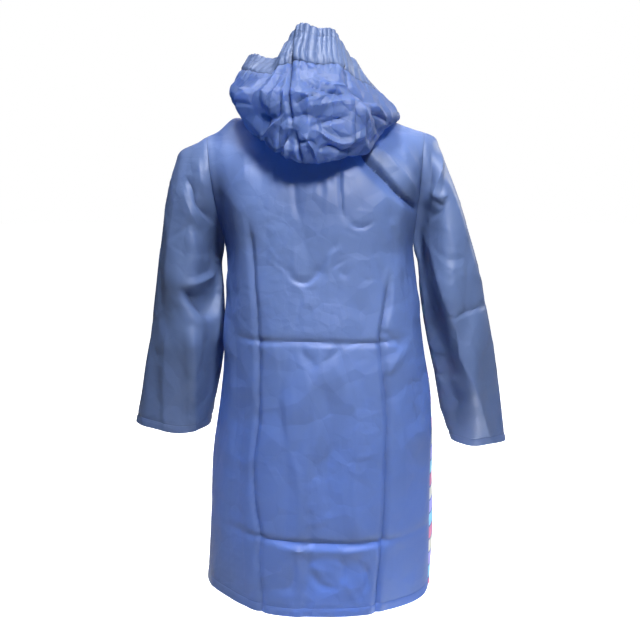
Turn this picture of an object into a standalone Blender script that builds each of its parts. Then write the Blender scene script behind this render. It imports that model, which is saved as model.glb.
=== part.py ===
"""A child's hooded raincoat of thin coated cloth, worn form, with nobody inside.

Metres, +Z up. The coat's front looks along -Y and the wearer's left arm is at +X.
The origin is the middle of the neck, level with the back of the neck seam.

Every panel is a grid of points on the coat's surface. Panels that are sewn together
share the points of their seam, so their walls meet on one mitre, 0.3 mm apart.
"""

import bpy
import numpy as np

# ---- driving sizes ----------------------------------------------------------------
WALL = 0.0015  # wall of a panel
SEAM_GAP = 0.0003  # room left between two panels at a seam
SEAM_SLACK = 0.00005  # added on each side, so that facets can't close the gap
SQUARENESS = 2.3  # exponent of the body's rounded cross-section; 2 is an ellipse
HEM_ROWS = 12  # rows of quads from hem to armpit
ARM_ROWS = 8  # rows of quads from armpit to shoulder, and half the sleeve's sides
HALF_COLUMNS = 9  # columns of quads from the centre to a side seam
NECK_COLUMNS = 4  # of those, the columns that end on the neckline

NECK_HALF_WIDTH = 0.074
NECK_POINT_Z = 0.020  # top of the shoulder seam
BACK_NECK = (0.058, 0.004)  # depth and height of the neckline at the centre back
FRONT_NECK = (-0.078, -0.050)  # the same at the centre front

OVERLAP = 0.016  # how far each front runs past the centre
BODY_HALF_WIDTH = 0.165  # the body's mean half width, which turns OVERLAP into an angle
LAP_RISE = 0.0026  # how far the upper front stands off the lower one
LAP_BLEND = 0.045  # width over which the upper front comes back to the surface

SNAP_COUNT = 5
SNAP_RADIUS = 0.0065
SNAP_HEIGHT = 0.0026
SNAP_LIFT = 0.0007  # clear of the facets that it sits on
SNAP_HEIGHTS = (-0.095, -0.560)  # the top and the bottom snap
CENTRE_COLUMN = 1  # the column of a front that lies on the coat's centre line

HOOD_FACETS = 14  # of the neckline's 16 straight facets, those that the hood is sewn to
HOOD_ACROSS = 3 * HOOD_FACETS  # columns of quads round the neck
HOOD_ROWS = 14  # rows of quads from the neck seam to the brim
HOOD_LIFT = 0.0010  # the hood leaves the seam this far above the panels' edge

CASING_WALL = 0.0026  # the hood's brim is two layers round an elastic
CASING_SHARE = 0.86  # where the casing starts, from neck seam (0) to brim (1)

# ---- tables -----------------------------------------------------------------------
# Body below the armpits. side_z: height of the side seam; left_w, right_w: half
# widths; back_y, front_y: depths at the centre; back_drop, front_drop: how far the
# centre hangs below the side seam; turn: degrees that the skirt has turned.
TORSO_COLUMNS = (
    "side_z", "left_w", "right_w", "back_y", "front_y", "back_drop", "front_drop", "turn",
)
TORSO = (
    (-0.710, 0.1850, 0.1720, 0.134, 0.130, 0.016, 0.010, 17.0),
    (-0.640, 0.1810, 0.1730, 0.132, 0.128, 0.013, 0.008, 16.0),
    (-0.560, 0.1765, 0.1725, 0.129, 0.126, 0.010, 0.006, 13.0),
    (-0.480, 0.1700, 0.1705, 0.126, 0.124, 0.007, 0.004, 9.0),
    (-0.400, 0.1615, 0.1640, 0.122, 0.121, 0.004, 0.003, 5.0),
    (-0.320, 0.1520, 0.1540, 0.118, 0.118, 0.002, 0.002, 2.0),
    (-0.250, 0.1480, 0.1470, 0.115, 0.115, 0.001, 0.001, 0.0),
    (-0.186, 0.1540, 0.1400, 0.113, 0.112, 0.000, 0.000, 0.0),
)

# Centre lines above the armpits. rise: 0 at the armpit, 1 at the neckline.
YOKE_COLUMNS = ("rise", "back_z", "back_y", "front_z", "front_y")
YOKE = (
    (0.00, -0.186, 0.113, -0.186, -0.112),
    (0.25, -0.142, 0.113, -0.157, -0.112),
    (0.50, -0.095, 0.107, -0.124, -0.108),
    (0.75, -0.046, 0.090, -0.089, -0.098),
    (1.00, BACK_NECK[1], BACK_NECK[0], FRONT_NECK[1], FRONT_NECK[0]),
)

# Sleeves, one row for each ring from armhole to cuff: the ring's outermost and
# innermost points as (x, z), its middle's y, and half its depth. x is from the
# coat's centre, so both sleeves are given with x positive.
SLEEVE_COLUMNS = ("outer_x", "outer_z", "inner_x", "inner_z", "mid_y", "half_depth")
SLEEVE_LEFT = (
    (0.1760, -0.014, 0.1540, -0.186, 0.000, 0.060),
    (0.1990, -0.033, 0.1558, -0.191, 0.000, 0.059),
    (0.2190, -0.056, 0.1572, -0.196, 0.000, 0.058),
    (0.2290, -0.082, 0.1582, -0.203, 0.000, 0.057),
    (0.2365, -0.118, 0.1588, -0.213, -0.001, 0.056),
    (0.2445, -0.158, 0.1588, -0.227, -0.002, 0.055),
    (0.2540, -0.206, 0.1582, -0.247, -0.004, 0.054),
    (0.2640, -0.260, 0.1575, -0.278, -0.007, 0.053),
    (0.2735, -0.316, 0.1600, -0.318, -0.011, 0.052),
    (0.2815, -0.364, 0.1675, -0.362, -0.016, 0.050),
    (0.2895, -0.414, 0.1770, -0.414, -0.023, 0.048),
    (0.2975, -0.465, 0.1865, -0.4705, -0.030, 0.046),
)
SLEEVE_RIGHT = (
    (0.1500, -0.008, 0.1400, -0.186, 0.000, 0.060),
    (0.1660, -0.022, 0.1420, -0.191, 0.000, 0.059),
    (0.1780, -0.046, 0.1440, -0.196, 0.000, 0.058),
    (0.1900, -0.076, 0.1462, -0.203, 0.000, 0.057),
    (0.2025, -0.112, 0.1485, -0.214, 0.000, 0.056),
    (0.2160, -0.154, 0.1500, -0.230, -0.001, 0.055),
    (0.2300, -0.200, 0.1530, -0.254, -0.003, 0.054),
    (0.2450, -0.252, 0.1580, -0.288, -0.006, 0.052),
    (0.2610, -0.306, 0.1660, -0.334, -0.010, 0.050),
    (0.2765, -0.364, 0.1790, -0.384, -0.015, 0.048),
    (0.2915, -0.427, 0.1960, -0.438, -0.021, 0.046),
    (0.3055, -0.492, 0.2140, -0.4945, -0.028, 0.044),
)

# Hood, one row for each section round the neck, from the throat at the left over
# the back to the throat at the right. Each section runs from the neck seam over the
# shoulder, round the lowest fold, out to the bag's widest place and up to the brim.
HOOD_COLUMNS = (
    "around",
    "fold_x", "fold_y", "fold_z",
    "bag_x", "bag_y", "bag_z",
    "rim_x", "rim_y", "rim_z",
)
HOOD = (
    (0.00, 0.036, -0.102, -0.046, 0.040, -0.112, -0.034, 0.036, -0.106, -0.014),
    (0.12, 0.088, -0.066, 0.012, 0.100, -0.078, 0.030, 0.088, -0.074, 0.052),
    (0.24, 0.112, 0.004, 0.022, 0.132, 0.006, 0.052, 0.108, -0.018, 0.100),
    (0.34, 0.102, 0.066, -0.008, 0.124, 0.080, 0.036, 0.082, 0.044, 0.104),
    (0.43, 0.056, 0.124, -0.048, 0.060, 0.150, 0.006, 0.040, 0.094, 0.128),
    (0.50, 0.010, 0.134, -0.056, 0.008, 0.162, 0.002, 0.008, 0.102, 0.134),
    (0.57, -0.032, 0.128, -0.048, -0.040, 0.152, 0.004, -0.026, 0.092, 0.122),
    (0.66, -0.076, 0.084, -0.012, -0.090, 0.104, 0.016, -0.054, 0.046, 0.078),
    (0.76, -0.112, 0.012, 0.014, -0.122, 0.014, 0.026, -0.094, 0.004, 0.042),
    (0.88, -0.084, -0.062, 0.008, -0.094, -0.074, 0.020, -0.082, -0.070, 0.034),
    (1.00, -0.032, -0.102, -0.046, -0.036, -0.112, -0.034, -0.032, -0.106, -0.014),
)
HOOD_STOPS = (0.0, 0.30, 0.62, 1.0)  # where seam, fold, bag and rim lie, neck to brim
HOOD_SEAMS = (0.42, 0.58)  # where the centre strip meets the side panels, around

# The largest folds, pressed in along straight lines. face: 1 back, -1 front; (x0, z0)
# and (x1, z1): the line's ends; width: half width; depth: how far in, or out if below 0.
FOLD_COLUMNS = ("face", "x0", "z0", "x1", "z1", "width", "depth")
FOLDS = (
    (1, 0.099, -0.240, 0.094, -0.760, 0.016, 0.0060),
    (1, -0.094, -0.240, -0.080, -0.760, 0.016, 0.0070),
    (1, 0.110, -0.312, -0.100, -0.312, 0.022, 0.0030),
    (1, 0.100, -0.612, -0.100, -0.612, 0.022, 0.0035),
    (1, -0.050, -0.020, -0.128, -0.140, 0.014, 0.0080),
    (1, -0.075, -0.010, -0.135, -0.090, 0.012, -0.0040),
    (1, 0.030, -0.080, 0.030, -0.160, 0.020, 0.0030),
    (-1, 0.085, -0.240, 0.060, -0.760, 0.016, 0.0050),
    (-1, -0.095, -0.240, -0.120, -0.760, 0.016, 0.0050),
    (1, 0.205, -0.240, 0.180, -0.280, 0.018, 0.0060),
    (1, -0.200, -0.110, -0.250, -0.400, 0.014, 0.0050),
)

COLOURS = {
    "coat": ((0.085, 0.125, 0.330, 1.0), 0.38, 0.0),
    "print": ((0.120, 0.180, 0.400, 1.0), 0.38, 0.0),
    "snap": ((0.070, 0.105, 0.300, 1.0), 0.30, 0.0),
}


# ---- reading the tables -------------------------------------------------------------
def column(table, names, name):
    """One named column of a table."""
    return np.array([row[names.index(name)] for row in table], float)


def smooth(at, knots, values):
    """Values at the places asked for, on a cubic through the table's own rows.
    Its slope at a row is the mean slope of the stretches on both sides of it."""
    slope = np.gradient(values, knots, axis=0)
    i = np.clip(np.searchsorted(knots, at) - 1, 0, len(knots) - 2)
    each = i.shape + (1,) * (values.ndim - 1)
    span = (knots[i + 1] - knots[i]).reshape(each)
    t = (at - knots[i]).reshape(each) / span
    return (
        (2 * t**3 - 3 * t**2 + 1) * values[i]
        + (t**3 - 2 * t**2 + t) * span * slope[i]
        + (3 * t**2 - 2 * t**3) * values[i + 1]
        + (t**3 - t**2) * span * slope[i + 1]
    )


# ---- the coat's surface ---------------------------------------------------------------
def rounded(angle):
    """Sine and cosine squared up to the power that gives the body its section."""
    power = 2.0 / SQUARENESS
    s, c = np.sin(angle), np.cos(angle)
    return np.sign(s) * np.abs(s) ** power, np.sign(c) * np.abs(c) ** power


def skirt(across, height, is_back):
    """Points of the body below the armpits. across runs from -1 at the right side
    seam to +1 at the left one; height from 0 at the hem to 1 at the armpit."""
    knots = np.linspace(0.0, 1.0, len(TORSO))
    row = {n: smooth(height, knots, column(TORSO, TORSO_COLUMNS, n)) for n in TORSO_COLUMNS}
    turn = np.radians(row["turn"])
    quarter = np.pi / 2
    if is_back:
        angle = across * np.where(across > 0, quarter + turn, quarter - turn)
    else:
        angle = np.pi + turn - across * quarter
    s, c = rounded(angle)
    width = np.where(s > 0, row["left_w"], row["right_w"])
    depth = np.where(c > 0, row["back_y"], row["front_y"])
    drop = np.where(c > 0, row["back_drop"], row["front_drop"])
    return np.stack([width * s, depth * c, row["side_z"] - drop * np.abs(c)], axis=-1)


def armhole(rise, side, is_back):
    """The sleeve seam, from the armpit (rise 0) to the shoulder's end (rise 1)."""
    first = (SLEEVE_LEFT if side > 0 else SLEEVE_RIGHT)[0]
    outer_x, outer_z, inner_x, inner_z, mid_y, half_depth = first
    up = 0.5 - 0.5 * np.cos(np.pi * rise)
    x = inner_x + (outer_x - inner_x) * up
    y = mid_y + half_depth * np.sin(np.pi * rise) * (1 if is_back else -1)
    z = inner_z + (outer_z - inner_z) * up
    return np.stack([side * x, y, z], axis=-1)


def top_edge(across, side, is_back):
    """The neckline's quarter arc, then the shoulder seam out to the sleeve."""
    share = NECK_COLUMNS / HALF_COLUMNS
    depth, height = BACK_NECK if is_back else FRONT_NECK
    arc = np.clip(across / share, -1, 1) * np.pi / 2
    neck = np.stack(
        [
            side * NECK_HALF_WIDTH * np.sin(arc),
            depth * np.cos(arc),
            NECK_POINT_Z + (height - NECK_POINT_Z) * np.cos(arc),
        ],
        axis=-1,
    )
    tip = armhole(np.array(1.0), side, is_back)
    point = np.array([side * NECK_HALF_WIDTH, 0.0, NECK_POINT_Z])
    along = np.clip((across - share) / (1 - share), 0, 1)[..., None]
    return np.where(along > 0, point + (tip - point) * along, neck)


def yoke(across, rise, side, is_back):
    """Points of the body above the armpits: the same rounded sections, cut off where
    the sleeve seam crosses them, and drawn in to the neckline over the last rows."""

    def section(rise):
        middle_y = abs(smooth(rise, knots, column(YOKE, YOKE_COLUMNS, face + "_y")))
        middle_z = smooth(rise, knots, column(YOKE, YOKE_COLUMNS, face + "_z"))
        end_x, end_y, end_z = np.moveaxis(armhole(rise, side, is_back), -1, 0)
        end_c = abs(end_y) / middle_y
        end_angle = np.arccos(end_c ** (SQUARENESS / 2))
        s, c = rounded(across * end_angle)
        x = end_x * s / rounded(end_angle)[0]
        z = end_z + (middle_z - end_z) * (c - end_c) / (1 - end_c)
        return np.stack([x, middle_y * c * (1 if is_back else -1), z], axis=-1)

    knots = column(YOKE, YOKE_COLUMNS, "rise")
    face = "back" if is_back else "front"
    draw_in = (rise**4)[..., None]
    return section(rise) + draw_in * (top_edge(across, side, is_back) - section(rise * 0 + 1))


def body_rows():
    """Where the rows of every body panel lie: 0 to 1 on the skirt, 1 to 2 on the yoke."""
    low = np.linspace(0, 1, HEM_ROWS + 1)
    high = np.linspace(1, 2, ARM_ROWS + 1)
    return np.concatenate([low, high[1:]])


def half_body(side, is_back, overlap=0.0):
    """A grid of the body from the centre to one side. With an overlap it starts that
    far past the centre, and has a column as far on the other side of it."""
    across = np.linspace(0, 1, HALF_COLUMNS + 1)
    if overlap:
        across = np.concatenate([[-overlap, 0, overlap], across[1:]])
    a, h = np.meshgrid(across, body_rows())
    low = skirt(side * a, np.clip(h, 0, 1), is_back)
    high = yoke(a, np.clip(h - 1, 0, 1), side, is_back)
    return np.where((h > 1)[..., None], high, low)


def back_grid():
    """The one-piece back, from the left side seam to the right one."""
    left, right = half_body(1, True), half_body(-1, True)
    return np.concatenate([left[:, :0:-1], right], axis=1)


def front_grid(side):
    """A front, from past the centre to its side seam."""
    angle = np.arcsin((OVERLAP / BODY_HALF_WIDTH) ** (SQUARENESS / 2))
    return half_body(side, False, overlap=angle / (np.pi / 2))


def sleeve_grid(side):
    """A sleeve's rings from armhole to cuff; the first ring is the armhole seam."""
    table = SLEEVE_LEFT if side > 0 else SLEEVE_RIGHT
    turn = np.linspace(0, 2 * np.pi, 2 * ARM_ROWS + 1)[None, :-1]
    get = {n: column(table, SLEEVE_COLUMNS, n)[:, None] for n in SLEEVE_COLUMNS}
    out = 0.5 - 0.5 * np.cos(turn)
    x = get["inner_x"] + (get["outer_x"] - get["inner_x"]) * out
    z = get["inner_z"] + (get["outer_z"] - get["inner_z"]) * out
    y = get["mid_y"] + get["half_depth"] * np.sin(turn)
    return np.stack([side * x, y, z], axis=-1)


def neckline(around):
    """The neck seam from the left of the throat (0) over the back (0.5) to the right,
    on the straight facets between the body's own points."""
    facet = np.pi / 2 / NECK_COLUMNS
    corners = np.arange(-2 * NECK_COLUMNS, 2 * NECK_COLUMNS + 1) * facet
    back = np.cos(corners) > 0
    drop = NECK_POINT_Z - np.where(back, BACK_NECK[1], FRONT_NECK[1])
    corner_xyz = (
        -NECK_HALF_WIDTH * np.sin(corners),
        np.where(back, BACK_NECK[0], -FRONT_NECK[0]) * np.cos(corners),
        NECK_POINT_Z - drop * np.abs(np.cos(corners)) + HOOD_LIFT,
    )
    angle = (around - 0.5) * HOOD_FACETS * facet
    return np.stack([np.interp(angle, corners, values) for values in corner_xyz], axis=-1)


def hood_grid():
    """The hood as columns round the neck and rows from the neck seam (0) to the brim
    (1): each column is a smooth curve through its section's four named points."""
    around = np.linspace(0, 1, HOOD_ACROSS + 1)
    knots = column(HOOD, HOOD_COLUMNS, "around")

    def place(name):
        values = [column(HOOD, HOOD_COLUMNS, f"{name}_{axis}") for axis in "xyz"]
        return np.stack([smooth(around, knots, v) for v in values], axis=-1)

    stops = np.stack([neckline(around), place("fold"), place("bag"), place("rim")])
    up = np.linspace(0, 1, HOOD_ROWS + 1)
    return smooth(up, np.array(HOOD_STOPS), stops)


def fold_depth(points):
    """How far each point is pressed in by the folds: a bell across each fold's line,
    fading out over the line's last quarters."""
    depth = np.zeros(points.shape[:-1])
    for row in FOLDS:
        fold = dict(zip(FOLD_COLUMNS, row))
        start = np.array([fold["x0"], fold["z0"]])
        line = np.array([fold["x1"], fold["z1"]]) - start
        offset = points[..., [0, 2]] - start
        along = offset @ line / (line @ line)
        across = (offset[..., 0] * line[1] - offset[..., 1] * line[0]) / np.linalg.norm(line)
        fade = np.clip(4 * np.minimum(along, 1 - along), 0, 1)
        facing = np.clip(fold["face"] * points[..., 1] / 0.04, 0, 1)
        depth += fold["depth"] * np.exp(-((across / fold["width"]) ** 2)) * fade * facing
    return depth


# ---- walls ----------------------------------------------------------------------------
def grid_faces(rows, columns, closed):
    """Quads of a grid of points, as indices into its flattened rows."""
    last = columns if closed else columns - 1
    r, c = np.meshgrid(np.arange(rows - 1), np.arange(last), indexing="ij")
    n = (c + 1) % columns
    low, high = r * columns, (r + 1) * columns
    return np.stack([low + c, low + n, high + n, high + c], axis=-1).reshape(-1, 4)


def shared_normals(grids, closed):
    """Vertex normals of all grids at once: points of a seam that two grids share get
    the mean of both, so that their walls meet on one mitre."""
    points = np.concatenate([g.reshape(-1, 3) for g in grids])
    faces, start = [], 0
    for g, ring in zip(grids, closed):
        faces.append(grid_faces(g.shape[0], g.shape[1], ring) + start)
        start += g.shape[0] * g.shape[1]
    faces = np.concatenate(faces)
    a, b, c, d = (points[faces[:, i]] for i in range(4))
    face_normal = np.cross(c - a, d - b)
    _, same = np.unique(np.round(points * 1e5).astype(np.int64), axis=0, return_inverse=True)
    same = same.reshape(-1)
    total = np.zeros((same.max() + 1, 3))
    for i in range(4):
        np.add.at(total, same[faces[:, i]], face_normal)
    normal = total[same]
    normal /= np.linalg.norm(normal, axis=1)[:, None]
    sizes = np.cumsum([0] + [g.shape[0] * g.shape[1] for g in grids])
    return [normal[s:e].reshape(g.shape) for g, s, e in zip(grids, sizes[:-1], sizes[1:])]


def drawn_in(grid, normals, closed=False):
    """The grid with its edges moved back by half the seam gap, each point straight away
    from the mitre, which holds the seam's direction and the shared normal."""
    grid = grid.copy()

    def back_off(edge, inner, normal, ring=False):
        if ring:
            along = np.roll(edge, -1, 0) - np.roll(edge, 1, 0)
        else:
            along = np.gradient(edge, axis=0)
        step = np.cross(normal, along)
        step /= np.linalg.norm(step, axis=1)[:, None]
        towards_panel = np.sign(np.sum(step * (inner - edge)))
        return edge + (SEAM_GAP / 2 + SEAM_SLACK) * towards_panel * step

    grid[0] = back_off(grid[0], grid[1], normals[0], closed)
    grid[-1] = back_off(grid[-1], grid[-2], normals[-1], closed)
    if not closed:
        grid[:, 0] = back_off(grid[:, 0], grid[:, 1], normals[:, 0])
        grid[:, -1] = back_off(grid[:, -1], grid[:, -2], normals[:, -1])
    return grid


def wall(name, grid, normals, colour, closed=False, thickness=WALL):
    """A closed solid: the grid as its outer face, the same grid moved in by the wall's
    thickness as its inner face, and a rim along the open edges."""
    rows, columns = grid.shape[:2]
    count = rows * columns
    outer = grid_faces(rows, columns, closed)
    inner = outer[:, ::-1] + count
    index = np.arange(count).reshape(rows, columns)
    if closed:
        loops = [np.append(index[0], index[0, 0]), np.append(index[-1], index[-1, 0])[::-1]]
    else:
        loops = [np.concatenate([index[0], index[1:, -1], index[-1, -2::-1], index[-2::-1, 0]])]
    rims = [np.stack([p[1:], p[:-1], p[:-1] + count, p[1:] + count], -1) for p in loops]
    faces = np.concatenate([outer, inner] + rims)
    points = np.concatenate([grid.reshape(-1, 3), (grid - normals * thickness).reshape(-1, 3)])
    add_mesh(name, points, faces, colour)


def add_mesh(name, points, faces, colour):
    """A mesh object with smooth faces and its own material."""
    mesh = bpy.data.meshes.new(name)
    mesh.from_pydata([tuple(p) for p in points], [], [tuple(int(i) for i in f) for f in faces])
    mesh.update()
    mesh.shade_smooth()
    thing = bpy.data.objects.new(name, mesh)
    bpy.context.scene.collection.objects.link(thing)
    rgba, roughness, metallic = COLOURS[colour]
    material = bpy.data.materials.new(name)
    material.use_nodes = True
    shader = material.node_tree.nodes["Principled BSDF"]
    shader.inputs["Base Color"].default_value = rgba
    shader.inputs["Roughness"].default_value = roughness
    shader.inputs["Metallic"].default_value = metallic
    mesh.materials.append(material)
    return mesh


# ---- the pieces -------------------------------------------------------------------------
def make_body():
    """Back, two fronts and two sleeves, mitred to each other along their seams. The
    front pieces' points and normals are returned for what is fixed on them."""
    grids = [
        back_grid(), front_grid(1), front_grid(-1)[:, ::-1], sleeve_grid(1), sleeve_grid(-1)[:, ::-1],
    ]
    closed = [False, False, False, True, True]
    flat_normals = shared_normals(grids, closed)
    grids = [g - n * fold_depth(g)[..., None] for g, n in zip(grids, flat_normals)]
    normals = shared_normals(grids, closed)
    back, left, right, sleeve_left, sleeve_right = [
        drawn_in(g, n, c) for g, n, c in zip(grids, normals, closed)
    ]
    left = left + normals[1] * lap_rise(left)[..., None]
    wall("back", back, normals[0], "coat")
    wall("front_left", left, normals[1], "print")
    wall("front_right", right, normals[2], "print")
    wall("sleeve_left", sleeve_left, normals[3], "coat", closed=True)
    wall("sleeve_right", sleeve_right, normals[4], "coat", closed=True)
    return left, normals[1]


def lap_rise(grid):
    """How far each point of the left front stands out to lie over the right one: all of
    the lap, then less and less over LAP_BLEND."""
    steps = np.linalg.norm(np.diff(grid, axis=1), axis=-1)
    from_edge = np.concatenate([np.zeros((len(grid), 1)), np.cumsum(steps, axis=1)], axis=1)
    lap_end = from_edge[:, [CENTRE_COLUMN + 1]]
    return LAP_RISE * np.clip(1 - (from_edge - lap_end) / LAP_BLEND, 0, 1)


def make_snaps(front, normals):
    """Snap caps down the coat's centre line, each on the upper front's face."""
    line, out = front[:, CENTRE_COLUMN], normals[:, CENTRE_COLUMN]
    for number, height in enumerate(np.linspace(*SNAP_HEIGHTS, SNAP_COUNT), start=1):
        seat = np.array([np.interp(height, line[:, 2], line[:, k]) for k in range(3)])
        direction = np.array([np.interp(height, line[:, 2], out[:, k]) for k in range(3)])
        snap(f"snap_{number}", seat, direction)


def snap(name, seat, direction):
    """A round cap with a sloping edge, standing just off the cloth."""
    profile = (
        (SNAP_RADIUS, 0.0),
        (SNAP_RADIUS, 0.5 * SNAP_HEIGHT),
        (0.72 * SNAP_RADIUS, SNAP_HEIGHT),
    )
    sides = 16
    turn = np.arange(sides)[:, None] * 2 * np.pi / sides
    z = direction / np.linalg.norm(direction)
    x = np.cross([0.0, 0.0, 1.0], z)
    x /= np.linalg.norm(x)
    y = np.cross(z, x)
    circle = np.cos(turn) * x + np.sin(turn) * y
    rings = [seat + z * (SNAP_LIFT + height) + radius * circle for radius, height in profile]
    faces = list(grid_faces(len(rings), sides, closed=True))
    faces.append(np.arange(sides)[::-1])
    faces.append(np.arange(sides) + sides * (len(rings) - 1))
    mesh = add_mesh(name, np.concatenate(rings), faces, "snap")
    mesh.set_sharp_from_angle(angle=np.radians(35))


def make_hood():
    """Two side panels, the centre strip between them and the elastic brim casing."""
    grid = hood_grid()
    normals = shared_normals([grid], [False])[0]
    left_seam, right_seam = (round(s * HOOD_ACROSS) for s in HOOD_SEAMS)
    casing = round(CASING_SHARE * HOOD_ROWS)
    spans = {
        "hood_left": (0, left_seam),
        "hood_centre": (left_seam, right_seam),
        "hood_right": (right_seam, HOOD_ACROSS),
    }
    for name, (low, high) in spans.items():
        part = np.s_[: casing + 1, low : high + 1]
        wall(name, drawn_in(grid[part], normals[part]), normals[part], "coat")
    brim, brim_normals = grid[casing:], normals[casing:]
    wall("hood_brim", drawn_in(brim, brim_normals), brim_normals, "coat", thickness=CASING_WALL)


def main():
    for thing in list(bpy.data.objects):
        bpy.data.objects.remove(thing)
    front, normals = make_body()
    make_snaps(front, normals)
    make_hood()


main()
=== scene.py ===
"""A child's hooded raincoat of thin soft film, filled out as worn, with nobody inside.

Metres, +Z up. The front looks along -Y and the wearer's left arm is at +X. Every panel
is a grid of points worked out with numpy: the coat's surface first, then its creases
and crumples, pressed in or raised along the surface's normal.
"""

import bpy
import numpy as np
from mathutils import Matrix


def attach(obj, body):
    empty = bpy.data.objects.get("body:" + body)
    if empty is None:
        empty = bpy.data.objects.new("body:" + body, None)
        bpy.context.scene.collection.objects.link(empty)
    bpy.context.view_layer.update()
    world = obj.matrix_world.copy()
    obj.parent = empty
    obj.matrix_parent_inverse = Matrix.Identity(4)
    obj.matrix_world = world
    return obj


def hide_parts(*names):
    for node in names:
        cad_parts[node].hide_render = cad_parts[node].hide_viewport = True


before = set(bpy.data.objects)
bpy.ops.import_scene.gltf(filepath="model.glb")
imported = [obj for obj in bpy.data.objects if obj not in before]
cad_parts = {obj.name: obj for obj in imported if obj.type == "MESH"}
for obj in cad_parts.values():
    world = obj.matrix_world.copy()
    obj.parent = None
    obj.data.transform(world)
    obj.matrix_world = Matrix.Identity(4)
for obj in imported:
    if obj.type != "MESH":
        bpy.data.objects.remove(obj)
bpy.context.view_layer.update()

# ---- driving sizes -------------------------------------------------------------------
FILM = 0.0009  # thickness of one layer of film, as modelled
CASING = 0.0018  # the hood's brim is two layers round an elastic
SQUARENESS = 2.3  # exponent of the body's rounded cross-section; 2 is an ellipse
NECK_HALF_WIDTH = 0.074
NECK_POINT_Z = 0.020  # top of the shoulder seam
BACK_NECK = (0.058, 0.004)  # depth and height of the neckline at the centre back
FRONT_NECK = (-0.078, -0.050)  # the same at the centre front
NECK_SHARE = 4 / 9  # share of a panel's width that ends on the neckline

LAP = 0.042  # how far each front runs past the centre, as a share of its width
LAP_RISE = 0.0018  # how far the upper front stands off the lower one
LAP_BLEND = 0.045  # width over which the upper front comes back to the surface
LAP_QUADS = 4  # columns of quads past the centre
CALM_EDGE = 0.042  # the fronts' folds start this far from their edge

SNAP_RADIUS = 0.0065
SNAP_HEIGHTS = (-0.095, -0.560)  # the top and the bottom snap
SNAP_COUNT = 5

HOOD_REACH = 0.875  # share of the neckline that the hood is sewn to
HOOD_LIFT = 0.0008  # the hood leaves the seam just above the panels' edge
CASING_SHARE = 12 / 14  # where the casing starts, from neck seam (0) to brim (1)
HOOD_SEAMS = (18 / 42, 24 / 42)  # where the centre strip meets the side panels, around
HOOD_STOPS = (0.0, 0.30, 0.62, 1.0)  # where seam, fold, bag and rim lie, neck to brim
PLEATS = 64  # gathers along the whole brim
PLEAT_DEPTH = 0.0036  # the deepest pleat, from trough to crest

HEM = 0.013  # depth of the turned and welded hem
HEM_RISE = 0.0005  # how far its second layer stands off the surface
WELD_DEPTH = 0.0009  # depth of the groove along the hem's weld
SEAM_DEPTH = 0.0012  # how far the seams sink in
HOOD_SEAM_DEPTH = 0.0016  # the same in the hood

# Grid sizes, as (columns, rows) of quads
BACK_QUADS = (190, 250)
FRONT_QUADS = (80, 200)
SLEEVE_QUADS = (150, 190)
HOOD_QUADS = (672, 147)

# Soft boxes: name, place, edge length, power in watts, the point they face, and the cone
# they light, in degrees
SOFT_BOXES = (
    ("key", (-0.34, 1.15, 0.70), 0.22, 7.6, (-0.03, 0.0, -0.42), 78.0),
    ("sky", (0.12, 0.62, 1.15), 0.34, 5.2, (0.0, 0.0, 0.02), 70.0),
    ("top", (0.7, -0.1, 1.5), 0.7, 10.0, (0.0, 0.0, -0.3), 180.0),
    ("front", (-0.1, -1.2, 1.2), 1.2, 16.0, (0.0, 0.0, -0.3), 180.0),
    ("rim", (-1.5, -1.0, 0.5), 0.8, 22.0, (0.0, 0.0, -0.3), 180.0),
    ("bounce", (-0.04, 0.02, -0.84), 0.22, 6.5, (-0.04, 0.0, -0.3), 84.0),
)
FLOOR_Z = -0.86  # well below the hem

# Starting numbers of the random folds
SEEDS = {
    "waves": 11, "back": 21, "front_left": 31, "front_right": 41,
    "sleeve_left": 51, "sleeve_right": 61, "hood": 71,
}

# ---- the coat's form -----------------------------------------------------------------
TORSO_COLUMNS = (
    "side_z", "left_w", "right_w", "back_y", "front_y", "back_drop", "front_drop", "turn",
)
TORSO = (
    (-0.710, 0.1885, 0.1725, 0.134, 0.130, 0.016, 0.010, 20.0),
    (-0.640, 0.1835, 0.1735, 0.132, 0.128, 0.013, 0.008, 19.0),
    (-0.560, 0.1775, 0.1735, 0.129, 0.126, 0.010, 0.006, 16.0),
    (-0.480, 0.1705, 0.1725, 0.126, 0.124, 0.007, 0.004, 11.0),
    (-0.400, 0.1625, 0.1665, 0.122, 0.121, 0.004, 0.003, 5.0),
    (-0.320, 0.1540, 0.1560, 0.118, 0.118, 0.002, 0.002, 2.0),
    (-0.250, 0.1515, 0.1480, 0.115, 0.115, 0.001, 0.001, 0.0),
    (-0.186, 0.1540, 0.1400, 0.113, 0.112, 0.000, 0.000, 0.0),
)
YOKE_COLUMNS = ("rise", "back_z", "back_y", "front_z", "front_y")
YOKE = (
    (0.00, -0.186, 0.113, -0.186, -0.112),
    (0.25, -0.142, 0.113, -0.157, -0.112),
    (0.50, -0.095, 0.107, -0.124, -0.108),
    (0.75, -0.046, 0.090, -0.089, -0.098),
    (1.00, BACK_NECK[1], BACK_NECK[0], FRONT_NECK[1], FRONT_NECK[0]),
)
SLEEVE_COLUMNS = ("outer_x", "outer_z", "inner_x", "inner_z", "mid_y", "half_depth")
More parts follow.
